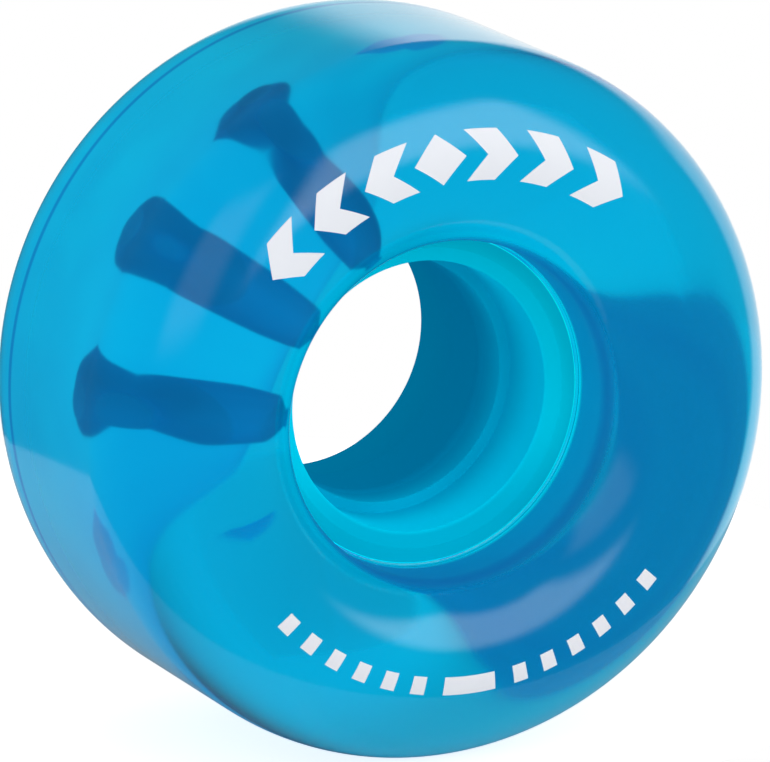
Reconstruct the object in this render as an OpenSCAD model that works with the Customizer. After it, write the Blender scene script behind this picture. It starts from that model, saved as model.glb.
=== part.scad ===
// Wheel for a quad roller skate: a clear cast tyre on a moulded core with keyed pegs.
// The wheel turns about Y, its printed front face looks along -Y, and the origin is its centre.

/* [Tyre] */
// Diameter over the tread
wheel_d = 58; // [56:0.5:64]
// Width between the two side crests
wheel_w = 33; // [31:0.5:36]
// Width of the flat band of the tread
tread_w = 16.4; // [14:0.2:18]
// Radius of the shoulder beside the tread
shoulder_r = 7.75; // [6:0.25:9]
// Turn of the shoulder before the wider arc of the crest takes over
shoulder_turn = 37.5; // [32:0.5:44]
// Depth over which the front face rolls into the recess
lip_d = 4.9; // [3:0.1:5.5]
// Sharpness of that roll: a low share draws one even arc, a high one a tight edge
lip_sharpness = 0.62; // [0.5:0.02:0.9]
// Ring of tyre that lies flush round each end of the core
flush_ring = 0.25; // [0.2:0.05:1]

/* [Core] */
// Length of the core between its end faces
core_l = 24; // [22:0.2:25]
// Depth of the core's back end inside the tyre's back face
back_recess = 0.3; // [0.2:0.1:1]
// Wall of the core round a bearing seat
core_wall = 2.4; // [2:0.1:3]
// Outer diameter of the bearings that press into the core
bearing_d = 22; // [19:0.5:24]
// Depth of each bearing seat
seat_l = 7; // [5:0.25:8]
// Height of the shoulder that stops each bearing
stop_h = 0.9; // [0.5:0.1:2]
// Width of the bevel round the front mouth
bevel_w = 1.2; // [0.4:0.1:1.6]
// Depth of that bevel
bevel_d = 0.7; // [0.3:0.1:1.2]
// Chamfer round the back mouth
back_chamfer = 0.3; // [0.2:0.05:0.8]
// Width of the bead round the bore
bead_w = 1.6; // [0.8:0.1:3]
// Height of that bead
bead_h = 0.16; // [0.08:0.02:0.3]
// How far the bead lies in front of the core's middle
bead_offset = 1.5; // [0:0.1:2.5]

/* [Pegs] */
// Number of pegs round the core
peg_count = 10; // [6:1:12]
// Angle of the first peg above the level line through the axle
peg_turn = 2; // [0:0.5:18]
// How far the pegs lie behind the tread's middle
peg_offset = 2.7; // [0:0.1:4]
// Reach of a peg out of the core
peg_l = 3.9; // [3.6:0.1:6]
// Diameter of a peg's body
peg_body_d = 4.6; // [4:0.1:5.4]
// Length of the body before it narrows to the neck
peg_body_l = 2.1; // [1:0.1:2.4]
// Diameter of the neck under the head
peg_neck_d = 1.9; // [1.6:0.1:2]
// Diameter of the head
peg_head_d = 2.4; // [2.2:0.1:2.6]
// Height of the head's straight rim
peg_rim_h = 0.15; // [0.1:0.05:0.3]
// Height of the dome on the head
peg_dome_h = 0.15; // [0.1:0.05:0.3]

/* [Hidden] */
$fn = 180;

// Tyre: two tangent arcs lead from the tread to each side crest
tread_r = wheel_d / 2;
half_w = wheel_w / 2;
shoulder_centre = [tread_r - shoulder_r, tread_w / 2];
shoulder_end = shoulder_centre + shoulder_r * [cos(shoulder_turn), sin(shoulder_turn)];
crest_arc_r = (half_w - shoulder_end[1]) / (1 - sin(shoulder_turn));
crest_r = shoulder_end[0] - crest_arc_r * cos(shoulder_turn);
crest_centre = [crest_r, half_w - crest_arc_r];

// Core
seat_r = bearing_d / 2;
core_r = seat_r + core_wall;
bore_r = seat_r - stop_h;
bead_r = (bead_h * bead_h + bead_w * bead_w / 4) / (2 * bead_h);
back_end = half_w - back_recess;
front_end = core_l - back_end;
core_offset = back_end - core_l / 2;
opening_r = core_r + flush_ring;

// Front lip: two more tangent arcs lead from the crest to the straight wall of the recess
lip_w = crest_r - opening_r;
lip_turn = min(75, 2 * atan(lip_sharpness * lip_d / lip_w));
lip_gain = sin(lip_turn) + cos(lip_turn) - 1;
lip_arc_r = (lip_w * cos(lip_turn) - lip_d * (1 - sin(lip_turn))) / lip_gain;
edge_arc_r = (lip_d * sin(lip_turn) - lip_w * (1 - cos(lip_turn))) / lip_gain;
lip_normal = [-sin(lip_turn), cos(lip_turn)];
lip_centre = [crest_r, half_w - lip_arc_r];
lip_end = lip_centre + lip_arc_r * lip_normal;
edge_centre = lip_end - edge_arc_r * lip_normal;

// Pegs
peg_body_r = peg_body_d / 2;
peg_neck_r = peg_neck_d / 2;
peg_head_r = peg_head_d / 2;
peg_flare = peg_head_r - peg_neck_r;
peg_rim_top = peg_l - peg_dome_h;
peg_flare_top = peg_rim_top - peg_rim_h;
peg_neck_top = peg_flare_top - peg_flare;
peg_dome_r = (peg_head_r * peg_head_r + peg_dome_h * peg_dome_h) / (2 * peg_dome_h);
peg_embed = core_wall / 2;

// Slice of a disc between two angles
module sector(centre, r, from, to) {
    reach = 2 * r;
    rim = [for (a = [from, (from + to) / 2, to]) centre + reach * [cos(a), sin(a)]];
    intersection() {
        translate(centre) circle(r);
        polygon(concat([centre], rim));
    }
}

// One side of the tyre's section, from the tread over the shoulder to the crest
module tyre_side() {
    sector(shoulder_centre, shoulder_r, 0, shoulder_turn);
    sector(crest_centre, crest_arc_r, shoulder_turn, 90);
    polygon([
        [crest_r, 0],
        [tread_r, 0],
        [tread_r, tread_w / 2],
        shoulder_end,
        [crest_r, half_w]
    ]);
}

// Inner part of the front side: the crest rolls into the deep recess before the core
module front_lip() {
    sector(lip_centre, lip_arc_r, 90, 90 + lip_turn);
    sector(edge_centre, edge_arc_r, 90 + lip_turn, 180);
    polygon([
        [core_r, 0],
        [crest_r, 0],
        [crest_r, half_w],
        lip_end,
        [opening_r, half_w - lip_d],
        [opening_r, front_end],
        [core_r, front_end]
    ]);
}

// Inner part of the back side: a shallow fall from the crest to the core
module back_lip() {
    polygon([
        [core_r, 0],
        [crest_r, 0],
        [crest_r, half_w],
        [opening_r, back_end],
        [core_r, back_end]
    ]);
}

// Room for one bearing in the front end of the sleeve, opening out at its mouth
module seat(mouth_w, mouth_d) {
    polygon([
        [bore_r, core_l / 2 - seat_l],
        [seat_r, core_l / 2 - seat_l],
        [seat_r, core_l / 2 - mouth_d],
        [seat_r + mouth_w, core_l / 2],
        [bore_r, core_l / 2]
    ]);
}

// Section of the core's sleeve, with its middle on the first axis
module sleeve_section() {
    difference() {
        translate([bore_r, -core_l / 2]) square([core_r - bore_r, core_l]);
        seat(bevel_w, bevel_d);
        mirror([0, 1]) seat(back_chamfer, back_chamfer);
    }
    intersection() {
        translate([bore_r + bead_r - bead_h, bead_offset]) circle(bead_r);
        translate([bore_r - bead_h, bead_offset - bead_w / 2]) square([bead_h + stop_h, bead_w]);
    }
}

// Section of one peg, from inside the core's wall up to the top of its domed head
module peg_section() {
    polygon([
        [0, -peg_embed],
        [peg_body_r, -peg_embed],
        [peg_body_r, peg_body_l],
        [peg_neck_r, peg_neck_top],
        [0, peg_neck_top]
    ]);
    difference() {
        translate([0, peg_neck_top]) square([peg_head_r, peg_flare]);
        translate([peg_head_r, peg_neck_top]) circle(peg_flare);
    }
    translate([0, peg_flare_top]) square([peg_head_r, peg_rim_h]);
    intersection() {
        translate([0, peg_l - peg_dome_r]) circle(peg_dome_r);
        translate([0, peg_rim_top]) square([peg_head_r, peg_dome_h]);
    }
}

module pegs() {
    for (i = [0 : peg_count - 1]) {
        translate([0, peg_offset, 0])
            rotate([0, 90 - peg_turn - i * 360 / peg_count, 0])
                translate([0, 0, core_r])
                    rotate_extrude() peg_section();
    }
}

// Stands a section up so that it turns about Y with its second axis towards the front
module about_axle() {
    rotate([90, 0, 0]) rotate_extrude() children();
}

module tyre() {
    color([0, 0.61, 0.84, 0.6]) difference() {
        about_axle() {
            tyre_side();
            front_lip();
            mirror([0, 1]) {
                tyre_side();
                back_lip();
            }
        }
        pegs();
    }
}

module core() {
    color([0, 0.46, 0.68]) union() {
        translate([0, core_offset, 0]) about_axle() sleeve_section();
        pegs();
    }
}

tyre();
core();
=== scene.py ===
"""Looks of the roller skate wheel: clear cast tyre, moulded core and the print on the front face."""

import math

import bmesh
import bpy
from mathutils import Matrix, Vector


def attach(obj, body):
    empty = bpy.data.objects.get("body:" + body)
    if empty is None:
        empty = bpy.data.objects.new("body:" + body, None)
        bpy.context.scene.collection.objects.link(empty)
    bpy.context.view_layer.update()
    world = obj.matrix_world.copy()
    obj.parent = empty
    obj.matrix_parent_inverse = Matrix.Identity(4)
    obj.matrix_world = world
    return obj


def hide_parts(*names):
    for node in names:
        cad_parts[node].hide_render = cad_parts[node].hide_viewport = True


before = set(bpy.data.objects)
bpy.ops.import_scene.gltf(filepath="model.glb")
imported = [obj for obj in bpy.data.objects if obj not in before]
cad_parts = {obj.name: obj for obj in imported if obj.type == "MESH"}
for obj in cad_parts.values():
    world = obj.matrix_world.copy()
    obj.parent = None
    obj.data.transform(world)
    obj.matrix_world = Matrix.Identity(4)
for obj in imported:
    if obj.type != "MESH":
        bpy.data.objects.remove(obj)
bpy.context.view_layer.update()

MM = 0.001

# Fineness of the meshes: segments round the axle and a peg, and steps along the arcs of the sections
SEGMENTS, PEG_SEGMENTS = 288, 64
WIDE_STEPS, TIGHT_STEPS = 40, 32
FILLET_STEPS, ROUND_STEPS, BEAD_STEPS = 6, 5, 16
FLARE_STEPS, DOME_STEPS = 8, 10
FILM_STEPS = 10
SHARP_ANGLE = 30.0

# Sizes of the solids, in mm: the tyre
TREAD_R = 29.0
HALF_W = 16.5
TREAD_HALF = 8.2
SHOULDER_R = 7.75
SHOULDER_TURN = 37.5
LIP_D = 4.9
LIP_SHARPNESS = 0.62
OPENING_R = 13.65

# The core
CORE_L = 24.0
BACK_RECESS = 0.3
CORE_R = 13.4
SEAT_R = 11.0
SEAT_L = 7.0
BORE_R = 10.1
BEVEL_W, BEVEL_D = 1.2, 0.7
BACK_CHAMFER = 0.3
BEAD_W, BEAD_H = 1.6, 0.16
BEAD_OFFSET = 1.5

# The sleeve's rounded edges take up at most this share of the side next to them
EDGE_ROUND, EDGE_SHARE = 0.14, 0.45

# The pegs
PEG_COUNT = 10
PEG_TURN = 2.0
PEG_OFFSET = 2.7
PEG_L = 3.9
PEG_BODY_R, PEG_BODY_L = 2.3, 2.1
PEG_NECK_R = 0.95
PEG_HEAD_R = 1.2
PEG_RIM_H = 0.15
PEG_DOME_H = 0.15
PEG_EMBED = 1.2

# The print, with angles in degrees about the axle: chevrons on both sides of a lozenge
PRINT_MIDDLE = 97.0
PRINT_LOW, PRINT_HIGH = 19.4, 23.4
LOZENGE_HALF = 6.0
CHEVRON_COUNT, CHEVRON_STEP = 3, 13.5
CHEVRON_THICK, CHEVRON_POINT = 7.0, 5.0

# Below the bore, short dashes on both sides of a long one
DASH_MIDDLE = 270.0
DASH_LOW, DASH_HIGH = 20.5, 22.0
LONG_HALF, SHORT_HALF = 6.0, 1.6
DASH_COUNT, DASH_START, DASH_STEP = 6, 12.0, 7.0

# The ink stands this far out of the tyre, whose crests lie as far inside the full width, and sinks this far into it
INK_T, INK_SINK = 0.02, 0.01

# The tyre's inner wall lies this far inside the core's skin, and meets it this far under the core's ends
CAST_OVERLAP, TUCK = 0.03, 0.07

# The fillet where the tyre meets the core's front end, and the seam beside its flat ring at the back end
FILLET_R, SEAM = 0.24, 0.01

# The fine line that the mould's parting leaves near the back edge of the tread
PARTING_Y = 7.5
PARTING_HALF, PARTING_EDGE = 0.15, 0.25

# Lengths below this count as none, so that narrower faces are closed up where two solids are combined
SLIVER = 0.0003

# Places that follow from the sizes
CAST_HALF_W = HALF_W - INK_T
PRINT_R = (PRINT_LOW + PRINT_HIGH) / 2
BACK_END = HALF_W - BACK_RECESS
FRONT_END = BACK_END - CORE_L
CORE_MIDDLE = BACK_END - CORE_L / 2
FLOOR_Z = -TREAD_R * MM


# Sections, as (radius, distance along the axle) in mm

def arc(centre, r, start, end, steps):
    """Points on an arc, with angles in degrees from the first axis."""
    angles = [math.radians(start + (end - start) * i / steps) for i in range(steps + 1)]
    return [(centre[0] + r * math.cos(a), centre[1] + r * math.sin(a)) for a in angles]


def tyre_outer():
    """One side of the tyre from the flat tread over the shoulder to the crest, with the side towards +."""
    turn = math.radians(SHOULDER_TURN)
    shoulder = (TREAD_R - SHOULDER_R, TREAD_HALF)
    end = (shoulder[0] + SHOULDER_R * math.cos(turn), shoulder[1] + SHOULDER_R * math.sin(turn))
    crest_arc_r = (CAST_HALF_W - end[1]) / (1 - math.sin(turn))
    crest_r = end[0] - crest_arc_r * math.cos(turn)
    crest_centre = (crest_r, CAST_HALF_W - crest_arc_r)
    points = arc(shoulder, SHOULDER_R, 0, SHOULDER_TURN, WIDE_STEPS)
    return points + arc(crest_centre, crest_arc_r, SHOULDER_TURN, 90, WIDE_STEPS)[1:]


def front_lip(crest_r):
    """The roll from the crest into the recess: two tangent arcs, a wide one and a tight one."""
    width = crest_r - OPENING_R
    turn = 2 * math.atan(LIP_SHARPNESS * LIP_D / width)
    sin, cos = math.sin(turn), math.cos(turn)
    wide = (width * cos - LIP_D * (1 - sin)) / (sin + cos - 1)
    tight = (LIP_D * sin - width * (1 - cos)) / (sin + cos - 1)
    centre = (crest_r, CAST_HALF_W - wide)
    edge_centre = (centre[0] - (wide - tight) * sin, centre[1] + (wide - tight) * cos)
    degrees = 90 + math.degrees(turn)
    points = arc(centre, wide, 90, degrees, WIDE_STEPS)
    return points + arc(edge_centre, tight, degrees, 180, TIGHT_STEPS)[1:]


def tyre_front():
    """The front side from the flat tread to the straight wall of the recess, with the front towards +."""
    outer = tyre_outer()
    return outer + front_lip(outer[-1][0])[1:]


def tyre_section():
    """The whole ring: a fillet meets the core's front end, and a flat ring its back end."""
    inner = CORE_R - CAST_OVERLAP
    fillet = arc((OPENING_R - FILLET_R, FILLET_R - FRONT_END), FILLET_R, 0, -90, FILLET_STEPS)
    front = tyre_front() + fillet + [(inner, -FRONT_END - TUCK)]
    ring = [(OPENING_R, BACK_END), (CORE_R + SEAM, BACK_END), (inner, BACK_END - TUCK)]
    return [(r, -y) for r, y in front[::-1]] + tyre_outer() + ring


def rounded(corners, r, sharp):
    """A closed section with its corners rounded, apart from the first sharp ones."""
    out = list(corners[:sharp])
    for i in range(sharp, len(corners)):
        p, a, b = (Vector(corners[k % len(corners)]) for k in (i, i - 1, i + 1))
        u, v = (a - p).normalized(), (b - p).normalized()
        half = u.angle(v) / 2
        reach = min(r / math.tan(half), EDGE_SHARE * (a - p).length, EDGE_SHARE * (b - p).length)
        radius = reach * math.tan(half)
        centre = p + (u + v).normalized() * (radius / math.sin(half))
        first, last = p + u * reach - centre, p + v * reach - centre
        start, end = (math.degrees(math.atan2(q.y, q.x)) for q in (first, last))
        out += arc(centre, radius, start, start + (end - start + 180) % 360 - 180, ROUND_STEPS)
    return out


def sleeve_section():
    """The core's sleeve: its outer corners stay sharp under the tyre, and a bead runs round its bore."""
    half, seat = CORE_L / 2, CORE_L / 2 - SEAT_L
    bead_r = (BEAD_H ** 2 + BEAD_W ** 2 / 4) / (2 * BEAD_H)
    sweep = math.degrees(math.asin(BEAD_W / 2 / bead_r))
    corners = [
        (CORE_R, -half), (CORE_R, half), (SEAT_R + BACK_CHAMFER, half), (SEAT_R, half - BACK_CHAMFER),
        (SEAT_R, seat), (BORE_R, seat), (BORE_R, -seat), (SEAT_R, -seat),
        (SEAT_R, BEVEL_D - half), (SEAT_R + BEVEL_W, -half),
    ]
    section = rounded(corners, EDGE_ROUND, sharp=2)
    bead = arc((BORE_R - BEAD_H + bead_r, -BEAD_OFFSET), bead_r, 180 - sweep, 180 + sweep, BEAD_STEPS)
    split = next(i for i, p in enumerate(section) if p[0] < BORE_R + SLIVER and p[1] < 0)
    section = section[:split] + bead + section[split:]
    return [(r, y + CORE_MIDDLE) for r, y in section]


def peg_section(inset):
    """Half of a peg's section, as (radius, height over the sleeve's skin), drawn in by inset."""
    body, neck, head = (r - inset for r in (PEG_BODY_R, PEG_NECK_R, PEG_HEAD_R))
    top = PEG_L - inset
    rim_top = top - PEG_DOME_H
    flare_top = rim_top - PEG_RIM_H + inset
    flare = head - neck
    neck_top = flare_top - flare
    dome_r = (head ** 2 + PEG_DOME_H ** 2) / (2 * PEG_DOME_H)
    sweep = math.degrees(math.asin(head / dome_r))
    points = [(body, -PEG_EMBED), (body, PEG_BODY_L), (neck, neck_top)]
    points += arc((head, neck_top), flare, 180, 90, FLARE_STEPS)[1:-1]
    points += [(head, flare_top), (head, rim_top)]
    points += arc((0, top - dome_r), dome_r, 90 - sweep, 90, DOME_STEPS)[1:]
    return points


# Print on the front face: each motif is a chain of edges, with points at (angle, radius)

def lozenge():
    """The motif at the print's middle."""
    left, right = PRINT_MIDDLE - LOZENGE_HALF, PRINT_MIDDLE + LOZENGE_HALF
    return [((left, PRINT_R), (PRINT_MIDDLE, PRINT_LOW)), ((PRINT_MIDDLE, PRINT_HIGH), (right, PRINT_R))]


def chevron(start, side):
    """A bar that turns back in a point, which looks away from the print's middle."""
    places = ((start, PRINT_LOW), (start + side * CHEVRON_POINT, PRINT_R), (start, PRINT_HIGH))
    return [((angle, r), (angle + side * CHEVRON_THICK, r)) for angle, r in places]


def dash(middle, half):
    """A bar of the row below the bore."""
    return [((middle - half, r), (middle + half, r)) for r in (DASH_LOW, DASH_HIGH)]


def print_motifs():
    """The lozenge and its chevrons, then the dashes below the bore."""
    motifs = [lozenge()]
    for side in (-1, 1):
        for i in range(CHEVRON_COUNT):
            motifs.append(chevron(PRINT_MIDDLE + side * (LOZENGE_HALF + CHEVRON_STEP * i), side))
    motifs.append(dash(DASH_MIDDLE, LONG_HALF))
    for side in (-1, 1):
        for i in range(DASH_COUNT):
            motifs.append(dash(DASH_MIDDLE + side * (DASH_START + DASH_STEP * i), SHORT_HALF))
    return motifs


def front_height(r):
    """How far the tyre's front lies before the wheel's middle at a radius."""
    profile = sorted(tyre_front())
    for (r0, y0), (r1, y1) in zip(profile, profile[1:]):
        if r0 <= r <= r1 and r1 > r0:
            return y0 + (y1 - y0) * (r - r0) / (r1 - r0)
    return CAST_HALF_W


def make_print(name):
    """All motifs in one piece."""
    bm = bmesh.new()
    for motif in print_motifs():
        add_film(bm, motif, FILM_STEPS)
    return mesh_object(name, bm)


def between(first, second, share):
    """The point at a share of the way from the first to the second."""
    return tuple(a + (b - a) * share for a, b in zip(first, second))


def film_grid(edges, steps):
    """Rows of points over a motif, with the same number of steps along and between its edges."""
    rows = []
    for k in range((len(edges) - 1) * steps + 1):
        i = min(k // steps, len(edges) - 2)
        share = k / steps - i
        start, end = (between(edges[i][j], edges[i + 1][j], share) for j in (0, 1))
        rows.append([between(start, end, j / steps) for j in range(steps + 1)])
    return rows


def add_film(bm, edges, steps):
    """A thin closed film over the front face, spanned by a chain of edges."""
    borders, faces = [], []
    for lift in (-INK_SINK, INK_T):
        rows = []
        for line in film_grid(edges, steps):
            places = [(math.radians(angle), r) for angle, r in line]
            points = [(r * math.cos(a), -front_height(r) - lift, r * math.sin(a)) for a, r in places]
            rows.append([bm.verts.new(Vector(p) * MM) for p in points])
        for low, high in zip(rows, rows[1:]):
            faces += [bm.faces.new((low[j], low[j + 1], high[j + 1], high[j])) for j in range(steps)]
        left, right = [row[0] for row in rows], [row[-1] for row in rows]
        borders.append(rows[0] + right[1:] + rows[-1][-2::-1] + left[-2:0:-1])
    low, high = borders
    for i in range(len(low)):
        k = (i + 1) % len(low)
        faces.append(bm.faces.new((low[i], low[k], high[k], high[i])))
    bmesh.ops.recalc_face_normals(bm, faces=faces)


# Meshes

def new_object(name, data):
    """An object in the scene that shows the data."""
    obj = bpy.data.objects.new(name, data)
    bpy.context.scene.collection.objects.link(obj)
    return obj


def mesh_object(name, bm):
    """An object in the scene that holds the finished mesh."""
    mesh = bpy.data.meshes.new(name)
    bm.to_mesh(mesh)
    bm.free()
    return new_object(name, mesh)


def revolve(name, section):
    """A closed section turned about the Y axis."""
    bm = bmesh.new()
    rings = []
    for i in range(SEGMENTS):
        a = 2 * math.pi * i / SEGMENTS
        points = [(r * math.cos(a) * MM, y * MM, r * math.sin(a) * MM) for r, y in section]
        rings.append([bm.verts.new(p) for p in points])
    for i, here in enumerate(rings):
        there = rings[(i + 1) % SEGMENTS]
        for j in range(len(section)):
            k = (j + 1) % len(section)
            bm.faces.new((here[j], there[j], there[k], here[k]))
    bmesh.ops.recalc_face_normals(bm, faces=bm.faces)
    return mesh_object(name, bm)


def add_peg(bm, section, angle):
    """One closed peg, standing out of the sleeve at an angle from +X towards +Z."""
    place = Matrix.Rotation(math.radians(90 - angle), 4, "Y")
    shift = Vector((0, PEG_OFFSET, 0))
    rings = []
    for r, h in section[:-1]:
        ring = []
        for i in range(PEG_SEGMENTS):
            a = 2 * math.pi * i / PEG_SEGMENTS
            p = place @ Vector((r * math.cos(a), r * math.sin(a), CORE_R + h)) + shift
            ring.append(bm.verts.new(p * MM))
        rings.append(ring)
    top = bm.verts.new((place @ Vector((0, 0, CORE_R + section[-1][1])) + shift) * MM)
    bm.faces.new(rings[0][::-1])
    for low, high in zip(rings, rings[1:]):
        for i in range(PEG_SEGMENTS):
            k = (i + 1) % PEG_SEGMENTS
            bm.faces.new((low[i], low[k], high[k], high[i]))
    for i in range(PEG_SEGMENTS):
        bm.faces.new((rings[-1][i], rings[-1][(i + 1) % PEG_SEGMENTS], top))


def make_pegs(name, inset):
    """The whole ring of pegs."""
    bm = bmesh.new()
    for i in range(PEG_COUNT):
        add_peg(bm, peg_section(inset), PEG_TURN + i * 360 / PEG_COUNT)
    return mesh_object(name, bm)


def combine(obj, other, operation):
    """Joins other to obj or cuts it out of obj, closes up slivers, and removes other."""
    modifier = obj.modifiers.new("combine", "BOOLEAN")
    modifier.operation = operation
    modifier.solver = "EXACT"
    modifier.object = other
    depsgraph = bpy.context.evaluated_depsgraph_get()
    mesh = bpy.data.meshes.new_from_object(obj.evaluated_get(depsgraph))
    obj.modifiers.clear()
    bm = bmesh.new()
    bm.from_mesh(mesh)
    bmesh.ops.remove_doubles(bm, verts=bm.verts, dist=SLIVER * MM)
    bmesh.ops.dissolve_degenerate(bm, edges=bm.edges, dist=SLIVER * MM)
    bm.to_mesh(mesh)
    bm.free()
    obj.data = mesh
    bpy.data.objects.remove(other)


def finish_surface(obj, material):
    """Smooth shading between sharp edges, and the material."""
    obj.data.shade_smooth()
    obj.data.set_sharp_from_angle(angle=math.radians(SHARP_ANGLE))
    obj.data.materials.append(material)


# Materials, with lengths in mm: a pair of colours runs from front to back, from low to high or from dim to bright.
# Clouds give the scale of a cloudy pattern, and a relief its scale, its strength and its height.

# The tyre, whose satin skin with its painted shade fades out over these radii and, at the foot of the wall, over
# these places along the axle
CLEAR = (1.0, 1.0, 1.0, 1.0)
# Painted shade on the recess wall's satin skin, deeper blue; the mould's parting line takes the same colour
WALL_SHADE_AND_PARTING = (0.2, 0.32, 0.62, 1.0)
CAST_COLOR, CAST_DENSITY = (0.0, 0.9903, 0.9966, 1.0), 2500.0
CAST_IOR = 1.5
GLOSS_ROUGH, SATIN_ROUGH = (0.08, 0.12), (0.48, 0.52)
CAST_CLOUDS, CAST_RELIEF = 120, (350, 0.05, 0.02)
WALL_FADE = (OPENING_R + 0.1, OPENING_R + 0.9)
WALL_FOOT = (FRONT_END - 0.9, FRONT_END - 0.3)

# The core: the bore darkens along the axle with painted shade and the bevel ends along the axle, the bevel carries
# painted shade from low to high, and the skin is told apart from the pegs by its radius
CORE_ROUGH = (0.25, 0.4)
CORE_CLOUDS, CORE_RELIEF = 300, (900, 0.1, 0.02)
BORE_FADE, BORE_GRAIN, BORE_CLOUDS = (-6.0, 3.0), 4.0, 60
# Painted shade: the bore's tint darkens from front to back, and its painted glow dims the same way
BORE_TINT_AND_SHADE = ((0.0, 0.60, 0.84, 1.0), (0.0, 0.20, 0.34, 1.0))
BORE_GLOW = ((0.0, 0.13, 0.17, 1.0), (0.0, 0.08, 0.155, 1.0))
BEVEL_END = (FRONT_END + 0.5, FRONT_END + 0.8)
# Painted shade on the front bevel: darker low down, lighter high up
BEVEL_SHADE_FADE = (-11.0, -2.0)
BEVEL_TINT_AND_SHADE = ((0.0, 0.36, 0.57, 1.0), (0.0, 0.59, 0.81, 1.0))
SKIN_DEPTH, SKIN_REACH, SKIN_CLOUDS = 0.05, 12.0, 110
# Painted glow on the sleeve's skin under the tyre, brighter at the left and the top
LEFT_DIM = ((0.0, 0.59, 0.75, 1.0), (0.0, 0.63, 0.79, 1.0))
LEFT_BRIGHT = ((0.0, 0.69, 0.81, 1.0), (0.0, 0.77, 0.88, 1.0))
RIGHT_DIM = ((0.0, 0.49, 0.53, 1.0), (0.0, 0.60, 0.63, 1.0))
RIGHT_BRIGHT = ((0.0, 0.61, 0.62, 1.0), (0.0, 0.74, 0.73, 1.0))
# Painted glow in the pegs, cloudy, and darker in the pegs at the upper left
DARK_PEG_GLOW = ((0.0, 0.13, 0.25, 1.0), (0.0, 0.19, 0.36, 1.0))
PALE_PEG_GLOW = ((0.0, 0.31, 0.53, 1.0), (0.0, 0.37, 0.62, 1.0))
PEG_RISE, PEG_RIGHT = (-7.0, -4.0), (-1.0, 2.0)
PEG_CLOUDS = 250

# The ink
INK_TONE, TONE_CLOUDS = ((0.86, 0.89, 0.96, 1.0), (0.90, 0.93, 0.98, 1.0)), 400
INK_ROUGH, INK_CLOUDS = (0.4, 0.55), 700
INK_RELIEF = (1500, 0.1, 0.01)

# Every cloudy pattern lies almost wholly between its low and its high value
NOISE_LOW, NOISE_MEAN, NOISE_HIGH = 0.3, 0.5, 0.7
NOISE_DETAIL = 3.0


def new_material(name):
    """A material, its nodes and its main shader."""
    material = bpy.data.materials.new(name)
    material.use_nodes = True
    tree = material.node_tree
    return material, tree, tree.nodes["Principled BSDF"]


def add_noise(tree, scale):
    """A cloudy pattern in space, from the object's own coordinates."""
    coord = tree.nodes.new("ShaderNodeTexCoord")
    noise = tree.nodes.new("ShaderNodeTexNoise")
    noise.inputs["Scale"].default_value = scale
    noise.inputs["Detail"].default_value = NOISE_DETAIL
    tree.links.new(coord.outputs["Object"], noise.inputs["Vector"])
    return noise.outputs["Fac"]


def noise_between(tree, scale, low, high):
    """The cloudy pattern, stretched to run between two values."""
    node = tree.nodes.new("ShaderNodeMapRange")
    node.inputs["From Min"].default_value = NOISE_LOW
    node.inputs["From Max"].default_value = NOISE_HIGH
    node.inputs["To Min"].default_value = low
    node.inputs["To Max"].default_value = high
    tree.links.new(add_noise(tree, scale), node.inputs["Value"])
    return node.outputs["Result"]


def ramp(tree, value, low, high):
    """A smooth rise from 0 to 1 between two values."""
    node = tree.nodes.new("ShaderNodeMapRange")
    node.interpolation_type = "SMOOTHSTEP"
    node.inputs["From Min"].default_value = low
    node.inputs["From Max"].default_value = high
    tree.links.new(value, node.inputs["Value"])
    return node.outputs["Result"]


def add_bump(tree, shader, scale, strength, height):
    """A fine relief of the surface, with its height in mm."""
    bump = tree.nodes.new("ShaderNodeBump")
    bump.inputs["Strength"].default_value = strength
    bump.inputs["Distance"].default_value = height * MM
    tree.links.new(add_noise(tree, scale), bump.inputs["Height"])
    tree.links.new(bump.outputs["Normal"], shader.inputs["Normal"])


def mix_colors(tree, factor, first, second):
    """The first colour where the factor is 0 and the second where it is 1, both sockets or colours."""
    mix = tree.nodes.new("ShaderNodeMix")
    mix.data_type = "RGBA"
    for name, value in (("A", first), ("B", second)):
        if isinstance(value, tuple):
            mix.inputs[name].default_value = value
        else:
            tree.links.new(value, mix.inputs[name])
    tree.links.new(factor, mix.inputs["Factor"])
    return mix.outputs["Result"]


def mix_values(tree, factor, first, second):
    """The first value where the factor is 0 and the second where it is 1, all sockets or numbers."""
    mix = tree.nodes.new("ShaderNodeMix")
    for name, value in (("Factor", factor), ("A", first), ("B", second)):
        if isinstance(value, (int, float)):
            mix.inputs[name].default_value = value
        else:
            tree.links.new(value, mix.inputs[name])
    return mix.outputs["Result"]


def math_node(tree, operation, *values):
    """A maths node fed by sockets and numbers."""
    node = tree.nodes.new("ShaderNodeMath")
    node.operation = operation
    for socket, value in zip(node.inputs, values):
        if isinstance(value, (int, float)):
            socket.default_value = value
        else:
            tree.links.new(value, socket)
    return node.outputs[0]


def position(tree, output):
    """The three parts of a texture coordinate."""
    coord = tree.nodes.new("ShaderNodeTexCoord")
    split = tree.nodes.new("ShaderNodeSeparateXYZ")
    tree.links.new(coord.outputs[output], split.inputs[0])
    return split.outputs


def ramp_mm(tree, value, span):
    """A smooth rise from 0 to 1 over a span in mm."""
    return ramp(tree, value, span[0] * MM, span[1] * MM)


def axle_distance(tree, x, z):
    """How far a point lies from the axle."""
    squares = math_node(tree, "ADD", math_node(tree, "MULTIPLY", x, x), math_node(tree, "MULTIPLY", z, z))
    return math_node(tree, "SQRT", squares)


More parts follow.
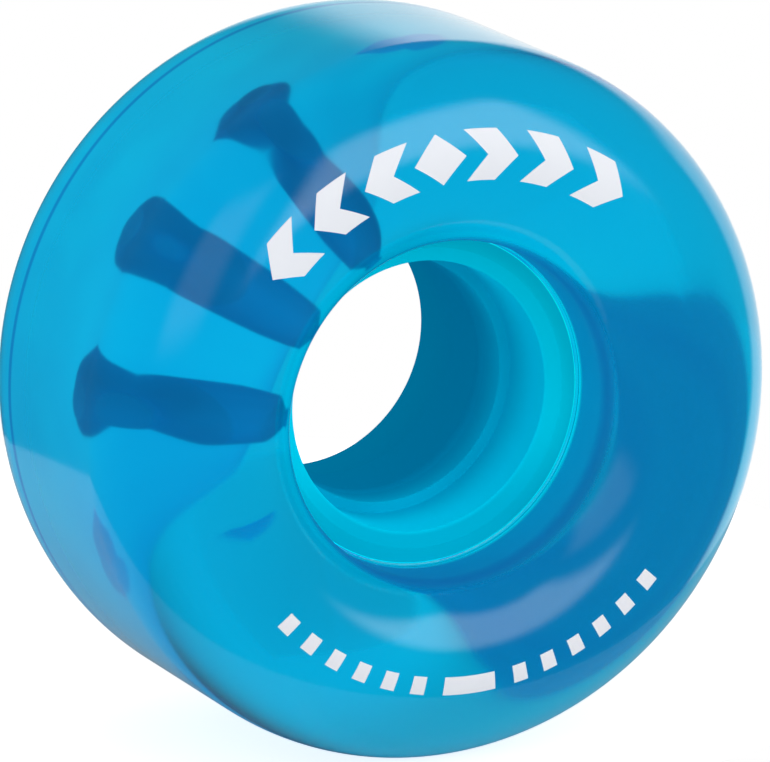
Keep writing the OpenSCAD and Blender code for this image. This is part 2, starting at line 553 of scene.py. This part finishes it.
def urethane():
    """Clear blue urethane, glossy outside, with a satin skin on the wall of the recess that is painted deeper blue as
    shade, and a fine dark parting line in the same colour.
    """
    material, tree, shader = new_material("clear_urethane")
    shader.inputs["Transmission Weight"].default_value = 1.0
    shader.inputs["IOR"].default_value = CAST_IOR
    x, y, z = position(tree, "Object")
    beyond = ramp_mm(tree, axle_distance(tree, x, z), WALL_FADE)
    outside = math_node(tree, "MAXIMUM", beyond, ramp_mm(tree, y, WALL_FOOT))
    off_line = math_node(tree, "ABSOLUTE", math_node(tree, "SUBTRACT", y, PARTING_Y * MM))
    beside = ramp_mm(tree, off_line, (PARTING_HALF, PARTING_HALF + PARTING_EDGE))
    clear_of_shade_and_line = math_node(tree, "MINIMUM", outside, beside)
    # Painted shade on the recess wall, and the dark parting line, tint the clear cast
    tree.links.new(mix_colors(tree, clear_of_shade_and_line, WALL_SHADE_AND_PARTING, CLEAR), shader.inputs["Base Color"])
    satin, gloss = (noise_between(tree, CAST_CLOUDS, *span) for span in (SATIN_ROUGH, GLOSS_ROUGH))
    tree.links.new(mix_values(tree, outside, satin, gloss), shader.inputs["Roughness"])
    add_bump(tree, shader, *CAST_RELIEF)
    volume = tree.nodes.new("ShaderNodeVolumeAbsorption")
    volume.inputs["Color"].default_value = CAST_COLOR
    volume.inputs["Density"].default_value = CAST_DENSITY
    tree.links.new(volume.outputs["Volume"], tree.nodes["Material Output"].inputs["Volume"])
    return material


def skin_glow(tree, x, z):
    """The light that the clear tyre leads to the sleeve's skin, cloudy, and brighter at the left and the top."""
    side, rise = (ramp_mm(tree, value, (-SKIN_REACH, SKIN_REACH)) for value in (x, z))
    dim, bright = (mix_colors(tree, side, mix_colors(tree, rise, *left), mix_colors(tree, rise, *right))
                   for left, right in ((LEFT_DIM, RIGHT_DIM), (LEFT_BRIGHT, RIGHT_BRIGHT)))
    return mix_colors(tree, noise_between(tree, SKIN_CLOUDS, 0.0, 1.0), dim, bright)


def peg_glow(tree, x, z):
    """The light that the pegs let through, cloudy, and darker in those at the upper left."""
    clouds = noise_between(tree, PEG_CLOUDS, 0.0, 1.0)
    dark, pale = (mix_colors(tree, clouds, *pair) for pair in (DARK_PEG_GLOW, PALE_PEG_GLOW))
    left = math_node(tree, "SUBTRACT", 1.0, ramp_mm(tree, x, PEG_RIGHT))
    upper_left = math_node(tree, "MULTIPLY", ramp_mm(tree, z, PEG_RISE), left)
    return mix_colors(tree, upper_left, pale, dark)


def core_plastic():
    """Tinted plastic with painted shade, darker deep in the bore and low on the front bevel, and a faint painted glow
    that stands for the light that runs through it.
    """
    material, tree, shader = new_material("core_plastic")
    x, y, z = position(tree, "Object")
    r = axle_distance(tree, x, z)
    clouds = math_node(tree, "SUBTRACT", add_noise(tree, BORE_CLOUDS), NOISE_MEAN)
    grain = math_node(tree, "MULTIPLY", clouds, BORE_GRAIN * MM)
    # Painted shade deep in the bore: the tint and the glow darken from front to back
    depth = ramp_mm(tree, math_node(tree, "ADD", y, grain), BORE_FADE)
    # Painted shade on the front bevel, darker low down
    bevel = mix_colors(tree, ramp_mm(tree, z, BEVEL_SHADE_FADE), *BEVEL_TINT_AND_SHADE)
    tint_and_shade = mix_colors(tree, ramp_mm(tree, y, BEVEL_END), bevel, mix_colors(tree, depth, *BORE_TINT_AND_SHADE))
    tree.links.new(tint_and_shade, shader.inputs["Base Color"])
    shader.inputs["Specular IOR Level"].default_value = 0.0
    tree.links.new(noise_between(tree, CORE_CLOUDS, *CORE_ROUGH), shader.inputs["Roughness"])
    add_bump(tree, shader, *CORE_RELIEF)
    buried = math_node(tree, "GREATER_THAN", r, (CORE_R - SKIN_DEPTH) * MM)
    peg = math_node(tree, "GREATER_THAN", r, (CORE_R + SKIN_DEPTH) * MM)
    # Painted glow on the bore, the sleeve's skin and the pegs, though none is a lamp
    sleeve_glow = mix_colors(tree, buried, mix_colors(tree, depth, *BORE_GLOW), skin_glow(tree, x, z))
    glow = mix_colors(tree, peg, sleeve_glow, peg_glow(tree, x, z))
    tree.links.new(glow, shader.inputs["Emission Color"])
    shader.inputs["Emission Strength"].default_value = 1.0
    return material


def ink():
    """White printing ink with a faint cloudiness."""
    material, tree, shader = new_material("ink")
    tree.links.new(mix_colors(tree, add_noise(tree, TONE_CLOUDS), *INK_TONE), shader.inputs["Base Color"])
    tree.links.new(noise_between(tree, INK_CLOUDS, *INK_ROUGH), shader.inputs["Roughness"])
    add_bump(tree, shader, *INK_RELIEF)
    return material


# Pieces

tyre = revolve("tyre_cast", tyre_section())
combine(tyre, make_pegs("peg_sockets", CAST_OVERLAP), "DIFFERENCE")
finish_surface(tyre, urethane())

core = revolve("core_moulding", sleeve_section())
combine(core, make_pegs("peg_forms", 0.0), "UNION")
finish_surface(core, core_plastic())

film = make_print("print_film")
finish_surface(film, ink())
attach(film, "root")

for piece, node, slot in ((tyre, "tyre", "clear_urethane"), (core, "core", "core_plastic")):
    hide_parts(node)
    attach(piece, "root")


# Stage

# Camera, with angles in degrees, its distance in m and its picture in pixels
CAMERA_AZIMUTH, CAMERA_HEIGHT = -25.0, 14.1
CAMERA_DISTANCE = 0.63897
IMAGE_W, IMAGE_H = 770.0, 762.0
FOCAL_PX, ORIGIN_PX = 8000.0, (381.43, 376.75)
SENSOR_W = 36.0

# Lights in front: a softbox and a weaker strip at the same height, with angles in degrees
BOX_AZIMUTH, BOX_HALF_W = 22.0, 22.0
BOX_HEIGHT, BOX_HALF_H = 28.0, 12.0
BOX_EDGE, BOX_LEVEL = 12.0, 2.2
STRIP_AZIMUTH, STRIP_HALF_W = -46.0, 10.0
STRIP_EDGE, STRIP_LEVEL = 14.0, 0.6
FILL_LEVEL = 0.6

# What the wheel mirrors: a white panel behind it in a dim room
PANEL_TURN, PANEL_HALF_W = -22.0, 25.0
PANEL_HEIGHT, PANEL_HALF_H = -10.0, 22.0
PANEL_EDGE = 9.0
ROOM_LEVEL = 0.05

# What shows through the tyre: a white backdrop that fades to its sides and its top
BACKDROP_TURN, BACKDROP_HALF_W, BACKDROP_EDGE = 40.0, 52.0, 40.0
BACKDROP_DIM = 0.45
BACKDROP_TOP, BACKDROP_FADE = 22.0, 0.24

# Floor, in m, with the glow that the camera sees on it and the glow that shows through the tyre
FLOOR_R, FLOOR_BACK = 0.06, 0.036
FLOOR_SEGMENTS = 256
FLOOR_TONE, FLOOR_ROUGH = 0.55, 0.9
FLOOR_SEEN, FLOOR_CLEAR = 0.8, 0.5


def add_floor():
    """A round pale table top, with its front edge close before the wheel."""
    bm = bmesh.new()
    bmesh.ops.create_circle(bm, cap_ends=True, segments=FLOOR_SEGMENTS, radius=FLOOR_R,
                            matrix=Matrix.Translation((0, FLOOR_BACK, FLOOR_Z)))
    floor = mesh_object("floor", bm)
    material, tree, shader = new_material("floor")
    shader.inputs["Base Color"].default_value = (FLOOR_TONE, FLOOR_TONE, FLOOR_TONE, 1.0)
    shader.inputs["Roughness"].default_value = FLOOR_ROUGH
    shader.inputs["Specular IOR Level"].default_value = 0.0
    shader.inputs["Emission Color"].default_value = (1.0, 1.0, 1.0, 1.0)
    path = tree.nodes.new("ShaderNodeLightPath")
    clear = math_node(tree, "MULTIPLY", path.outputs["Is Transmission Ray"], FLOOR_CLEAR)
    seen = mix_values(tree, path.outputs["Is Camera Ray"], clear, FLOOR_SEEN)
    tree.links.new(seen, shader.inputs["Emission Strength"])
    floor.data.materials.append(material)


def soft_window(tree, angle, middle, half, edge):
    """1 within half of the middle, falling softly to 0 over the edge."""
    off = math_node(tree, "ABSOLUTE", math_node(tree, "SUBTRACT", angle, math.radians(middle)))
    return math_node(tree, "SUBTRACT", 1.0, ramp(tree, off, math.radians(half), math.radians(half + edge)))


def turned(tree, x, y, degrees):
    """The angle of a direction about Z, from an axis that stands at some degrees from -Y towards +X."""
    sin, cos = math.sin(math.radians(degrees)), math.cos(math.radians(degrees))
    x_sin, x_cos = (math_node(tree, "MULTIPLY", x, share) for share in (sin, cos))
    y_sin, y_cos = (math_node(tree, "MULTIPLY", y, share) for share in (sin, cos))
    return math_node(tree, "ARCTAN2", math_node(tree, "ADD", x_cos, y_sin),
                     math_node(tree, "SUBTRACT", x_sin, y_cos))


def lamp_level(tree, height, ahead):
    """The softbox and the strip in front of the wheel."""
    box = soft_window(tree, ahead, BOX_AZIMUTH, BOX_HALF_W, BOX_EDGE)
    strip = soft_window(tree, ahead, STRIP_AZIMUTH, STRIP_HALF_W, STRIP_EDGE)
    both = math_node(tree, "ADD", math_node(tree, "MULTIPLY", box, BOX_LEVEL),
                     math_node(tree, "MULTIPLY", strip, STRIP_LEVEL))
    return math_node(tree, "MULTIPLY", both, soft_window(tree, height, BOX_HEIGHT, BOX_HALF_H, BOX_EDGE))


def mirrored_level(tree, height, behind, lamps):
    """The room as the wheel mirrors it."""
    panel = math_node(tree, "MULTIPLY", soft_window(tree, behind, PANEL_TURN, PANEL_HALF_W, PANEL_EDGE),
                      soft_window(tree, height, PANEL_HEIGHT, PANEL_HALF_H, PANEL_EDGE))
    return math_node(tree, "ADD", math_node(tree, "ADD", panel, lamps), ROOM_LEVEL)


def clear_level(tree, height, behind):
    """The backdrop as it shows through the tyre."""
    backdrop = soft_window(tree, behind, BACKDROP_TURN, BACKDROP_HALF_W, BACKDROP_EDGE)
    fade = math_node(tree, "MULTIPLY", ramp(tree, height, 0.0, math.radians(BACKDROP_TOP)), BACKDROP_FADE)
    return math_node(tree, "SUBTRACT", mix_values(tree, backdrop, BACKDROP_DIM, 1.0), fade)


def add_world():
    """A white backdrop behind the wheel, a softbox and a light strip in front, and a dim room round them."""
    world = bpy.data.worlds.new("studio")
    world.use_nodes = True
    bpy.context.scene.world = world
    tree = world.node_tree
    x, y, z = position(tree, "Generated")
    height = math_node(tree, "ARCSINE", z)
    behind = turned(tree, x, y, CAMERA_AZIMUTH + 180)
    lamps = lamp_level(tree, height, turned(tree, x, y, 0.0))
    path = tree.nodes.new("ShaderNodeLightPath")
    level = math_node(tree, "ADD", lamps, FILL_LEVEL)
    for ray, other in (("Is Glossy Ray", mirrored_level(tree, height, behind, lamps)),
                       ("Is Transmission Ray", clear_level(tree, height, behind)), ("Is Camera Ray", 1.0)):
        level = mix_values(tree, path.outputs[ray], level, other)
    background = tree.nodes["Background"]
    background.inputs["Color"].default_value = (1.0, 1.0, 1.0, 1.0)
    tree.links.new(level, background.inputs["Strength"])


def add_camera():
    """The camera at the photo's place, shifted so that the wheel's centre falls on its pixel."""
    azimuth, elevation = math.radians(CAMERA_AZIMUTH), math.radians(CAMERA_HEIGHT)
    back = Vector((math.sin(azimuth) * math.cos(elevation),
                   -math.cos(azimuth) * math.cos(elevation),
                   math.sin(elevation)))
    data = bpy.data.cameras.new("camera")
    data.sensor_width = SENSOR_W
    data.lens = FOCAL_PX * SENSOR_W / IMAGE_W
    data.shift_x = (IMAGE_W / 2 - ORIGIN_PX[0]) / IMAGE_W
    data.shift_y = (ORIGIN_PX[1] - IMAGE_H / 2) / IMAGE_W
    data.clip_start, data.clip_end = 0.05, 20.0
    camera = new_object("camera", data)
    camera.location = back * CAMERA_DISTANCE
    camera.rotation_euler = back.to_track_quat("Z", "Y").to_euler()
    bpy.context.scene.camera = camera


add_floor()
add_world()
add_camera()
bpy.context.scene.view_settings.view_transform = "Standard"
